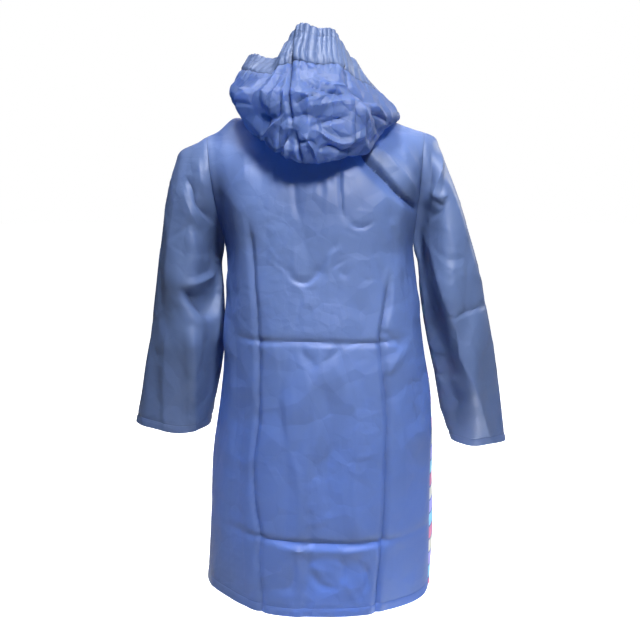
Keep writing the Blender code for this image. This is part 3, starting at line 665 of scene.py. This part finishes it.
def shell(name, outer, inward, thickness, marks, closed=False):
    """A closed thin shell: the grid outside, the same grid moved by thickness along
    inward as its inside, and a rim round the open edges. marks are values of each grid
    point, kept as attributes; outside is 1 on the outer layer and 0 on the inner."""
    rows, columns = outer.shape[:2]
    count = rows * columns
    quads = grid_quads(rows, columns, closed)
    index = np.arange(count).reshape(rows, columns)
    if closed:
        loops = [np.append(index[0], index[0, 0]), np.append(index[-1], index[-1, 0])[::-1]]
    else:
        loops = [np.concatenate([index[0], index[1:, -1], index[-1, -2::-1], index[-2::-1, 0]])]
    rims = [np.stack([p[1:], p[:-1], p[:-1] + count, p[1:] + count], -1) for p in loops]
    faces = np.concatenate([quads, quads[:, ::-1] + count] + rims)
    points = np.concatenate([outer.reshape(-1, 3), (outer + inward * thickness).reshape(-1, 3)])

    mesh = bpy.data.meshes.new(name)
    mesh.vertices.add(len(points))
    mesh.vertices.foreach_set("co", points.ravel())
    mesh.loops.add(faces.size)
    mesh.loops.foreach_set("vertex_index", faces.ravel().astype(np.int32))
    mesh.polygons.add(len(faces))
    mesh.polygons.foreach_set("loop_start", np.arange(0, faces.size, 4, dtype=np.int32))
    mesh.update(calc_edges=True)
    mesh.shade_smooth()
    mesh.set_sharp_from_angle(angle=np.radians(40))

    marks = {k: np.tile(v.ravel(), 2) for k, v in marks.items()}
    cut = mesh.uv_layers.new(name="cut")
    corners = np.stack([marks.pop("cut_u"), marks.pop("cut_v")], axis=-1)[faces.ravel()]
    cut.data.foreach_set("uv", corners.ravel())
    marks["outside"] = np.repeat([1.0, 0.0], count)
    for key, values in marks.items():
        mesh.attributes.new(key, "FLOAT", "POINT").data.foreach_set("value", values)
    piece = bpy.data.objects.new(name, mesh)
    bpy.context.scene.collection.objects.link(piece)
    return piece


def finish_piece(piece, node, material):
    """The piece rides on the coat, hides the CAD node it takes the place of, and gets its material.
    """
    piece.data.materials.append(material)
    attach(piece, "root")
    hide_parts(node)


# ---- the coat's pieces ---------------------------------------------------------------
def hem_and_seams(from_hem, seams):
    """Height off the surface at the turned hem, which is two layers with a weld's groove
    along its edge, and at the seams, which sink in."""
    turned = HEM_RISE * ease((HEM - from_hem) / 0.002)
    groove = -WELD_DEPTH * np.exp(-((from_hem - HEM) / 0.0022) ** 2)
    sunk = -SEAM_DEPTH * np.exp(-((seams / 0.0035) ** 2))
    return turned + groove + sunk


def body_film(grid, seed, from_sides):
    """A body panel's height off its surface, its creases' mark and its normals: long
    waves that grow towards the hem, listed creases, facets and crumples. All die
    away to the armholes and the neckline."""
    normals = normals_of(grid)
    x, z = grid[..., 0], grid[..., 2]
    low = ease((-0.10 - z) / 0.5)
    height, mark = creased(grid, BODY_CREASES, facing(grid[..., 1], 0.03))
    waves = swell(grid, SEEDS["waves"], wavelength=(0.14, 0.14, 0.60), depth=0.0026)
    height += waves * (0.35 + low)
    inside = ease(from_sides / 0.03)
    facets = faceted(grid, seed + 2, size=0.060, slope=0.08, stretch=(1.0, 1.0, 0.40))
    height += inside * facets * (0.5 + 0.5 * low)
    # the places where the film is crumpled most, each a share from 0 to 1
    between_blades = np.exp(-((x / 0.085) ** 2) - ((z + 0.190) / 0.085) ** 2)
    down_middle = np.exp(-(((x - 0.01) / 0.030) ** 2)) * ease((-0.32 - z) / 0.05)
    above_hem = ease((-0.62 - z) / 0.02) * np.exp(-((x / 0.10) ** 2))
    busy = 0.35 + between_blades + 0.6 * down_middle + 0.8 * above_hem
    busy *= ease(from_sides / 0.015)
    height += busy * crumpled(
        grid, normals, seed, count=60, length=0.050, width=0.009, depth=0.0014, lean=(0, 0, 0.8)
    )
    height += busy * crumpled(
        grid, normals, seed + 1, count=150, length=0.022, width=0.0032, depth=0.0009,
        lean=(1.0, 0, 0),
    )
    from_top = lengths(grid, 0)
    from_top = from_top[-1:] - from_top
    above_armpit = ease((z + 0.200) / 0.020)
    keep = ease(from_top / 0.020) * (1 - above_armpit * (1 - ease(from_sides / 0.012)))
    return height * keep, mark * keep, normals


def body_panel(name, grid, cut_u, sides, quiet, rise):
    """A body panel, its outer surface and its normals. sides is the distance to its side
    seams and quiet the one over which its folds die away; rise lifts it off the body."""
    height, mark, normals = body_film(grid, SEEDS[name], quiet)
    from_hem = lengths(grid, 0)
    seams = np.minimum(sides, from_hem[-1:] - from_hem)
    height += hem_and_seams(from_hem, seams)
    height += rise
    marks = {"cut_u": cut_u, "cut_v": from_hem, "hem": from_hem, "seam": seams, "crease": mark}
    outer = grid + normals * height[..., None]
    return shell("coat_" + name, outer, -normals, FILM, marks), outer, normals


def make_back():
    """The back, in one piece."""
    grid = pushed(back_grid(), BODY_PUSHES)
    from_left = lengths(grid, 1)
    sides = np.minimum(from_left, from_left[:, -1:] - from_left)
    middle = from_left[:, [grid.shape[1] // 2]]
    return body_panel("back", grid, from_left - middle, sides, sides, 0.0)[0]


def make_front(side):
    """A front, its centre line and the normals there; the left one stands out over the
    right one at the lap."""
    grid = pushed(front_grid(side), BODY_PUSHES)
    from_edge = lengths(grid, 1)
    sides = from_edge[:, -1:] - from_edge
    if side < 0:
        grid = grid[:, ::-1]
        from_edge, sides = from_edge[:, ::-1], sides[:, ::-1]
    quiet = np.minimum(sides, np.clip(from_edge - CALM_EDGE, 0, None))
    if side > 0:
        name, centre = "front_left", LAP_QUADS
        lap_end = from_edge[:, [2 * LAP_QUADS]]
        rise = LAP_RISE * np.clip(1 - (from_edge - lap_end) / LAP_BLEND, 0, 1)
    else:
        name, centre, rise = "front_right", -1 - LAP_QUADS, 0.0
    piece, outer, normals = body_panel(name, grid, from_edge, sides, quiet, rise)
    return piece, outer[:, centre], normals[:, centre]


def make_sleeve(side):
    """A sleeve; its folds die away to the armhole."""
    name = "sleeve_left" if side > 0 else "sleeve_right"
    grid = pushed(sleeve_grid(side), BODY_PUSHES)
    if side < 0:
        grid = grid[:, ::-1]
    normals = normals_of(grid, closed=True)
    from_middle = grid[..., 1] - grid.mean(axis=1)[:, None, 1]
    creases = SLEEVE_LEFT_CREASES if side > 0 else SLEEVE_RIGHT_CREASES
    height, mark = creased(grid, creases, facing(from_middle, 0.02))
    seed = SEEDS[name]
    height += faceted(grid, seed + 2, size=0.055, slope=0.08, stretch=(1.0, 1.0, 0.35))
    lean = (0.3 * side, 0, -1.2)
    height += crumpled(
        grid, normals, seed, count=40, length=0.060, width=0.011, depth=0.0014, lean=lean
    )
    height += crumpled(grid, normals, seed + 1, count=70, length=0.020, width=0.004, depth=0.0006)
    from_armhole = lengths(grid, 0)
    from_cuff = from_armhole[-1:] - from_armhole
    keep = ease(from_armhole / 0.025)
    height = height * keep + hem_and_seams(from_cuff, from_armhole)
    marks = {
        "cut_u": lengths(grid, 1), "cut_v": from_cuff,
        "hem": from_cuff, "seam": from_armhole, "crease": mark * keep,
    }
    outer = grid + normals * height[..., None]
    return shell("coat_" + name, outer, -normals, FILM, marks, closed=True)


def make_hood():
    """The hood's four pieces, cut from one crumpled grid: two side panels, the strip
    between them and the brim's casing, gathered into uneven pleats by its elastic."""
    grid = pushed(hood_grid(), HOOD_PUSHES)
    columns, rows = HOOD_QUADS
    normals = normals_of(grid)
    around, up = np.meshgrid(np.linspace(0, 1, columns + 1), np.linspace(0, 1, rows + 1))
    left, right = (round(s * columns) for s in HOOD_SEAMS)
    casing = round(CASING_SHARE * rows)
    from_neck = lengths(grid, 0)
    from_throat = lengths(grid, 1)

    height, mark = creased(grid, HOOD_CREASES, facing(grid[..., 1] - 0.015, 0.05))
    # calmer in the middle under the brim, and less faceted above the bag
    x, z = grid[..., 0], grid[..., 2]
    calm = 1 - 0.75 * np.exp(-((x / 0.042) ** 2 + ((z - 0.070) / 0.026) ** 2))
    below = 1 - 0.7 * ease((up - HOOD_STOPS[2]) / 0.2)
    seed = SEEDS["hood"]
    height += calm * below * faceted(grid, seed, size=0.030, slope=0.24)
    height += calm * crumpled(
        grid, normals, seed + 2, count=70, length=0.045, width=0.0045, depth=0.0016
    )
    height += calm * crumpled(
        grid, normals, seed + 3, count=160, length=0.020, width=0.0022, depth=0.0007
    )
    wander = 0.9 * np.sin(19 * around) + 0.7 * np.sin(43 * around + 2) + 0.4 * np.sin(97 * around)
    phase = np.pi * PLEATS * around + wander + 0.5 * np.sin(30 * up)
    pleat = np.abs(np.cos(phase)) ** 0.6 - 0.6
    deep = 0.6 + 0.4 * np.sin(61 * around + 1) * np.sin(23 * around)
    from_rim = from_neck[-1:] - from_neck
    casing_line = from_rim[[casing]]
    gathered = np.where(from_rim < casing_line, 1.0, np.exp(-(from_rim - casing_line) / 0.012))
    height += PLEAT_DEPTH * pleat * deep * gathered
    seam_lines = np.minimum(*(np.abs(from_throat - from_throat[:, [k]]) for k in (left, right)))
    height -= HOOD_SEAM_DEPTH * np.exp(-((seam_lines / 0.004) ** 2))
    height -= HOOD_SEAM_DEPTH * np.exp(-(((from_rim - casing_line) / 0.003) ** 2))
    height *= ease(from_neck / 0.02)
    outer = grid + normals * height[..., None]

    marks = {
        "cut_u": from_throat, "cut_v": from_neck, "crease": mark,
        "hem": from_rim, "seam": np.minimum(seam_lines, np.abs(from_rim - casing_line)),
    }
    spans = {
        "hood_left": np.s_[: casing + 1, : left + 1],
        "hood_centre": np.s_[: casing + 1, left : right + 1],
        "hood_right": np.s_[: casing + 1, right:],
        "hood_brim": np.s_[casing:],
    }
    for node, part in spans.items():
        thick = CASING if node == "hood_brim" else FILM
        part_marks = {k: v[part] for k, v in marks.items()}
        yield node, shell("coat_" + node, outer[part], -normals[part], thick, part_marks)


def make_snaps(line, out):
    """Snap caps down the centre line: each is a turned profile with a raised edge round
    a shallow dish."""
    profile = np.array([
        (1.00, -0.10), (1.00, 0.16), (0.96, 0.27), (0.86, 0.33), (0.74, 0.31),
        (0.66, 0.24), (0.50, 0.23), (0.25, 0.26), (0.001, 0.27),
    ]) * SNAP_RADIUS
    sides = 40
    turn = np.arange(sides)[:, None] * 2 * np.pi / sides
    for number, level in enumerate(np.linspace(*SNAP_HEIGHTS, SNAP_COUNT), start=1):
        seat = np.array([np.interp(level, line[:, 2], line[:, k]) for k in range(3)])
        z = np.array([np.interp(level, line[:, 2], out[:, k]) for k in range(3)])
        z /= np.linalg.norm(z)
        x = np.cross([0.0, 0.0, 1.0], z)
        x /= np.linalg.norm(x)
        circle = np.cos(turn) * x + np.sin(turn) * np.cross(z, x)
        rings = np.concatenate([seat + z * (h + 0.0004) + r * circle for r, h in profile])
        faces = grid_quads(len(profile), sides, closed=True).tolist()
        faces.append(list(range(sides))[::-1])
        faces.append(list(range(len(rings) - sides, len(rings))))
        mesh = bpy.data.meshes.new(f"coat_snap_{number}")
        mesh.from_pydata(rings.tolist(), [], faces)
        mesh.update()
        mesh.shade_smooth()
        mesh.set_sharp_from_angle(angle=np.radians(50))
        piece = bpy.data.objects.new(mesh.name, mesh)
        bpy.context.scene.collection.objects.link(piece)
        yield f"snap_{number}", piece


# ---- materials -----------------------------------------------------------------------
class Tree:
    """A small helper that adds nodes to a node tree and links them."""

    def __init__(self, tree):
        self.tree = tree

    def add(self, kind, inputs=(), **settings):
        """A node of that kind. inputs maps a socket's name or number to a value, or to
        another node's output socket."""
        node = self.tree.nodes.new(kind)
        for key, value in settings.items():
            setattr(node, key, value)
        for key, value in dict(inputs).items():
            if isinstance(value, bpy.types.NodeSocket):
                self.tree.links.new(value, node.inputs[key])
            else:
                node.inputs[key].default_value = value
        return node

    def maths(self, operation, a, b=0.0, c=0.0, clamp=False):
        node = self.add("ShaderNodeMath", {0: a, 1: b, 2: c}, operation=operation, use_clamp=clamp)
        return node.outputs[0]

    def mix(self, factor, a, b):
        """Colour a where factor is 0, b where it is 1."""
        node = self.add("ShaderNodeMix", {0: factor, 6: a, 7: b}, data_type="RGBA")
        return node.outputs[2]

    def bump(self, height, strength, distance, under=None, **settings):
        """The normal, bent by a height; under is the normal before."""
        inputs = {"Height": height, "Strength": strength, "Distance": distance}
        if under is not None:
            inputs["Normal"] = under
        return self.add("ShaderNodeBump", inputs, **settings).outputs[0]


def new_group(name, inputs, outputs):
    """An empty shader node group with float inputs (name, default) and float outputs."""
    group = bpy.data.node_groups.new(name, "ShaderNodeTree")
    group.interface.new_socket("Vector", in_out="INPUT", socket_type="NodeSocketVector")
    for label, value in inputs:
        socket = group.interface.new_socket(label, in_out="INPUT", socket_type="NodeSocketFloat")
        socket.default_value = value
    for label in outputs:
        group.interface.new_socket(label, in_out="OUTPUT", socket_type="NodeSocketFloat")
    tree = Tree(group)
    given = tree.add("NodeGroupInput").outputs
    return group, tree, given


def film_grain():
    """The film's fine matt emboss: Height for bump, Gloss to vary the roughness."""
    group, tree, given = new_group("film_grain", [("Scale", 900.0)], ["Height", "Gloss"])
    place, scale = given["Vector"], given["Scale"]
    pebble = tree.add("ShaderNodeTexVoronoi", {"Vector": place, "Scale": scale})
    dust = tree.add("ShaderNodeTexNoise", {"Vector": place, "Scale": scale, "Detail": 3.0})
    patch = tree.add("ShaderNodeTexNoise", {"Vector": place, "Scale": 26.0, "Detail": 4.0})
    height = tree.maths("MULTIPLY_ADD", dust.outputs[0], 0.6, pebble.outputs["Distance"])
    tree.add("NodeGroupOutput", {"Height": height, "Gloss": patch.outputs[0]})
    return group


def film_crinkle():
    """Fine crinkles left in the film by folding: flat facets with sharp edges, from the
    squared distances to two sets of scattered points, one less the other, at two sizes.
    The finer ones come and go in patches."""
    group, tree, given = new_group("film_crinkle", [("Scale", 20.0), ("Cover", 0.5)], ["Height"])
    place = given["Vector"]

    def nearest(times, slant):
        """Squared distance to the nearest point of a set that is turned by slant."""
        turned = tree.add("ShaderNodeMapping", {"Vector": place, "Rotation": slant}).outputs[0]
        scale = tree.maths("MULTIPLY", given["Scale"], times)
        cells = tree.add("ShaderNodeTexVoronoi", {"Vector": turned, "Scale": scale})
        return tree.maths("POWER", cells.outputs["Distance"], 2.0)

    def facets(times, slant):
        other = (slant[2], slant[0] + 1.0, slant[1])
        return tree.maths("SUBTRACT", nearest(times, slant), nearest(times, other))

    cover = tree.add("ShaderNodeTexNoise", {"Vector": place, "Scale": 9.0, "Detail": 1.0})
    shown = tree.maths("SUBTRACT", cover.outputs[0], given["Cover"])
    shown = tree.maths("MULTIPLY", shown, 5.0, clamp=True)
    fine = tree.maths("MULTIPLY", facets(2.7, (0.5, 0.3, 0.8)), shown)
    height = tree.maths("MULTIPLY_ADD", fine, 0.35, facets(1.0, (0.2, 0.9, 0.3)))
    tree.add("NodeGroupOutput", {"Height": height})
    return group


def colour_blocks(tree):
    """The fronts' print: rows of rounded blocks, in four colours that follow each other
    down and step sideways from row to row. Returns the colour and where a block is."""
    cut = tree.add("ShaderNodeUVMap", uv_map="cut").outputs[0]
    split = tree.add("ShaderNodeSeparateXYZ", {0: cut})
    block_width, block_height = 0.031, 0.0207
    margin, corner_radius = 0.0045, 0.0034
    across = tree.maths("DIVIDE", split.outputs[0], block_width)
    column_number = tree.maths("FLOOR", across)
    up = tree.maths("DIVIDE", split.outputs[1], block_height)
    up = tree.maths("MULTIPLY_ADD", column_number, 0.5, up)
    row_number = tree.maths("FLOOR", up)
    order = tree.maths("ADD", column_number, row_number)
    order = tree.maths("DIVIDE", tree.maths("FLOORED_MODULO", order, 4.0), 4.0)
    ramp = tree.add("ShaderNodeValToRGB", {0: tree.maths("ADD", order, 0.05)})
    ramp.color_ramp.interpolation = "CONSTANT"
    palette = (
        (0.00, (0.44, 0.40, 0.78, 1.0)),
        (0.25, (0.86, 0.84, 0.55, 1.0)),
        (0.50, (0.80, 0.20, 0.20, 1.0)),
        (0.75, (0.28, 0.72, 0.84, 1.0)),
    )
    while len(ramp.color_ramp.elements) < len(palette):
        ramp.color_ramp.elements.new(0.5)
    for element, (place, rgba) in zip(ramp.color_ramp.elements, palette):
        element.position = place
        element.color = rgba

    def inset(value, number, size):
        """Distance in metres past the block's straight sides, 0 inside them."""
        middle = tree.maths("SUBTRACT", tree.maths("SUBTRACT", value, number), 0.5)
        half = tree.maths("MULTIPLY", tree.maths("ABSOLUTE", middle), size)
        return tree.maths("MAXIMUM", tree.maths("SUBTRACT", half, size / 2 - margin), 0.0)

    dx = tree.maths("POWER", inset(across, column_number, block_width), 2)
    dy = tree.maths("POWER", inset(up, row_number, block_height), 2)
    corner = tree.maths("SQRT", tree.maths("ADD", dx, dy))
    inside = tree.maths("SUBTRACT", corner_radius, corner)
    inside = tree.maths("MULTIPLY", inside, 3000.0, clamp=True)
    return ramp.outputs[0], inside


def film_material(
    name, groups, deep, bright, glow, printed=False, crinkle=(26.0, 0.45, 0.42), clear=0.24
):
    """Thin satin film. deep and bright are the ends of its slow colour change, glow the
    colour of light that comes through it and clear how much of it does. crinkle has the
    crinkles' scale, cover and strength."""
    grain, crinkles = groups
    scale, cover, strength = crinkle
    material = bpy.data.materials.new(name)
    material.use_nodes = True
    material.node_tree.nodes.clear()
    tree = Tree(material.node_tree)
    place = tree.add("ShaderNodeTexCoord").outputs["Object"]

    fine = tree.add("ShaderNodeGroup", {"Vector": place, "Scale": 900.0}, node_tree=grain)
    inputs = {"Vector": place, "Scale": scale, "Cover": cover}
    folds = tree.add("ShaderNodeGroup", inputs, node_tree=crinkles)
    crease, hem, seam, outside = (
        tree.add("ShaderNodeAttribute", attribute_name=mark).outputs["Fac"]
        for mark in ("crease", "hem", "seam", "outside")
    )

    def stripe(distance, width):
        """1 on a line, falling to 0 at that width from it."""
        return tree.maths("SUBTRACT", 1.0, tree.maths("DIVIDE", distance, width), clamp=True)

    weld = stripe(tree.maths("ABSOLUTE", tree.maths("SUBTRACT", hem, HEM)), 0.0011)
    line = tree.maths("MAXIMUM", weld, stripe(seam, 0.0016))

    slow = tree.add("ShaderNodeTexNoise", {"Vector": place, "Scale": 7.0, "Detail": 4.0})
    colour = tree.mix(slow.outputs[0], (*deep, 1.0), (*bright, 1.0))
    if printed:
        blocks, inside = colour_blocks(tree)
        colour = tree.mix(tree.maths("MULTIPLY", inside, outside), colour, blocks)
    # Deep creases are painted darker here as shade; the welds and seams get the same dark colour as
    # the film's joints.
    darker, lined = (tree.maths("MULTIPLY", v, k) for v, k in ((crease, 0.35), (line, 0.4)))
    shade_and_joint_dark = tuple(0.35 * v for v in deep)
    colour = tree.mix(tree.maths("MAXIMUM", darker, lined), colour, (*shade_and_joint_dark, 1.0))

    rough = tree.maths("MULTIPLY_ADD", fine.outputs["Gloss"], 0.26, 0.39)
    rough = tree.maths("MULTIPLY_ADD", crease, 0.10, rough)
    normal = tree.bump(folds.outputs["Height"], strength, distance=0.0040)
    normal = tree.bump(fine.outputs["Height"], strength=0.16, distance=0.0003, under=normal)
    normal = tree.bump(line, strength=0.7, distance=0.0006, under=normal, invert=True)
    inputs = {"Base Color": colour, "Roughness": rough, "Normal": normal, "IOR": 1.5}
    film = tree.add("ShaderNodeBsdfPrincipled", {**inputs, "Specular IOR Level": 0.45})
    through = tree.add("ShaderNodeBsdfTranslucent", {"Color": (*glow, 1.0), "Normal": normal})
    both = tree.add("ShaderNodeMixShader", {0: clear, 1: film.outputs[0], 2: through.outputs[0]})
    tree.add("ShaderNodeOutputMaterial", {"Surface": both.outputs[0]})
    return material


def snap_material(grain):
    """Moulded plastic caps, a little darker and glossier than the film."""
    material = bpy.data.materials.new("snap_plastic")
    material.use_nodes = True
    tree = Tree(material.node_tree)
    shader = material.node_tree.nodes["Principled BSDF"]
    place = tree.add("ShaderNodeTexCoord").outputs["Object"]
    fine = tree.add("ShaderNodeGroup", {"Vector": place, "Scale": 1500.0}, node_tree=grain)
    deep, bright = (0.020, 0.045, 0.190, 1.0), (0.030, 0.062, 0.240, 1.0)
    driven = {
        "Base Color": tree.mix(fine.outputs["Gloss"], deep, bright),
        "Roughness": tree.maths("MULTIPLY_ADD", fine.outputs["Gloss"], 0.18, 0.18),
        "Normal": tree.bump(fine.outputs["Height"], strength=0.08, distance=0.0002),
    }
    for key, socket in driven.items():
        tree.tree.links.new(socket, shader.inputs[key])
    return material


# ---- stage, light and camera ---------------------------------------------------------
def make_stage():
    """A pale round floor well below the hem, even white light and soft boxes."""
    bpy.ops.mesh.primitive_circle_add(
        vertices=96, radius=14.0, fill_type="NGON", location=(0, 0, FLOOR_Z)
    )
    floor = bpy.context.object
    floor.name = "floor"
    material = bpy.data.materials.new("floor_white")
    material.use_nodes = True
    tree = Tree(material.node_tree)
    shader = material.node_tree.nodes["Principled BSDF"]
    shader.inputs["Base Color"].default_value = (0.9, 0.9, 0.9, 1.0)
    shader.inputs["Roughness"].default_value = 0.9
    shader.inputs["Emission Color"].default_value = (1.0, 1.0, 1.0, 1.0)
    seen = tree.add("ShaderNodeLightPath").outputs["Is Camera Ray"]
    tree.tree.links.new(seen, shader.inputs["Emission Strength"])
    floor.data.materials.append(material)

    world = bpy.data.worlds.new("studio")
    bpy.context.scene.world = world
    world.use_nodes = True
    tree = Tree(world.node_tree)
    world.node_tree.nodes.clear()
    seen = tree.add("ShaderNodeBackground", {"Color": (1.0, 1.0, 1.0, 1.0), "Strength": 1.0})
    up = tree.add("ShaderNodeSeparateXYZ", {0: tree.add("ShaderNodeTexCoord").outputs["Generated"]})
    glow = tree.maths("MULTIPLY_ADD", up.outputs[2], 0.11, 0.03, clamp=True)
    lit = tree.add("ShaderNodeBackground", {"Color": (0.93, 0.96, 1.0, 1.0), "Strength": glow})
    path = tree.add("ShaderNodeLightPath").outputs["Is Camera Ray"]
    both = tree.add("ShaderNodeMixShader", {0: path, 1: lit.outputs[0], 2: seen.outputs[0]})
    tree.add("ShaderNodeOutputWorld", {"Surface": both.outputs[0]})

    for row in SOFT_BOXES:
        soft_box(*row)


def soft_box(name, place, size, power, target, spread):
    """A square area light that points at a target and lights a cone of spread degrees."""
    light = bpy.data.lights.new(name, "AREA")
    light.size = size
    light.energy = power
    light.spread = np.radians(spread)
    lamp = bpy.data.objects.new(name, light)
    lamp.location = place
    aim = np.array(target) - np.array(place)
    flat = np.hypot(aim[0], aim[1])
    lamp.rotation_euler = (np.arctan2(flat, -aim[2]), 0.0, np.arctan2(-aim[0], aim[1]))
    bpy.context.scene.collection.objects.link(lamp)


def make_camera():
    """Behind the coat, a little above its middle and tilted down."""
    data = bpy.data.cameras.new("camera")
    data.lens = 54.2
    data.sensor_width = 36.0
    camera = bpy.data.objects.new("camera", data)
    camera.location = (0.0054, 1.49, -0.068)
    tilt_down = np.radians(8.74)
    camera.rotation_euler = (np.pi / 2 - tilt_down, 0.0, np.pi)
    bpy.context.scene.collection.objects.link(camera)
    bpy.context.scene.camera = camera


def main():
    make_camera()
    make_stage()
    bpy.context.scene.view_settings.view_transform = "Standard"
    groups = film_grain(), film_crinkle()
    glow = (0.17, 0.36, 0.82)
    blue = {"deep": (0.058, 0.092, 0.195), "bright": (0.084, 0.130, 0.262), "glow": glow}
    film = film_material("coat_film", groups, **blue)
    airy = {**blue, "glow": (0.14, 0.40, 0.92)}
    hood_film = film_material("hood_film", groups, **airy, crinkle=(46.0, 0.8, 0.85), clear=0.44)
    print_film = film_material("printed_film", groups, **blue, printed=True)
    # The casing gets a darker copy of the film's blue: painted shade for the light its two layers
    # let through less.
    shaded_casing_blue = {"deep": (0.040, 0.064, 0.140), "bright": (0.060, 0.094, 0.195), "glow": glow}
    casing_film = film_material("casing_film", groups, **shaded_casing_blue, crinkle=(45.0, 0.6, 0.6), clear=0.14)
    snap_plastic = snap_material(groups[0])

    finish_piece(make_back(), "back", film)
    left, line, out = make_front(1)
    finish_piece(left, "front_left", print_film)
    finish_piece(make_front(-1)[0], "front_right", print_film)
    finish_piece(make_sleeve(1), "sleeve_left", film)
    finish_piece(make_sleeve(-1), "sleeve_right", film)
    for node, piece in make_hood():
        slot, material = "coat_film", hood_film
        if node == "hood_brim":
            slot, material = "casing_film", casing_film
        finish_piece(piece, node, material)
    for node, piece in make_snaps(line, out):
        finish_piece(piece, node, snap_plastic)


main()
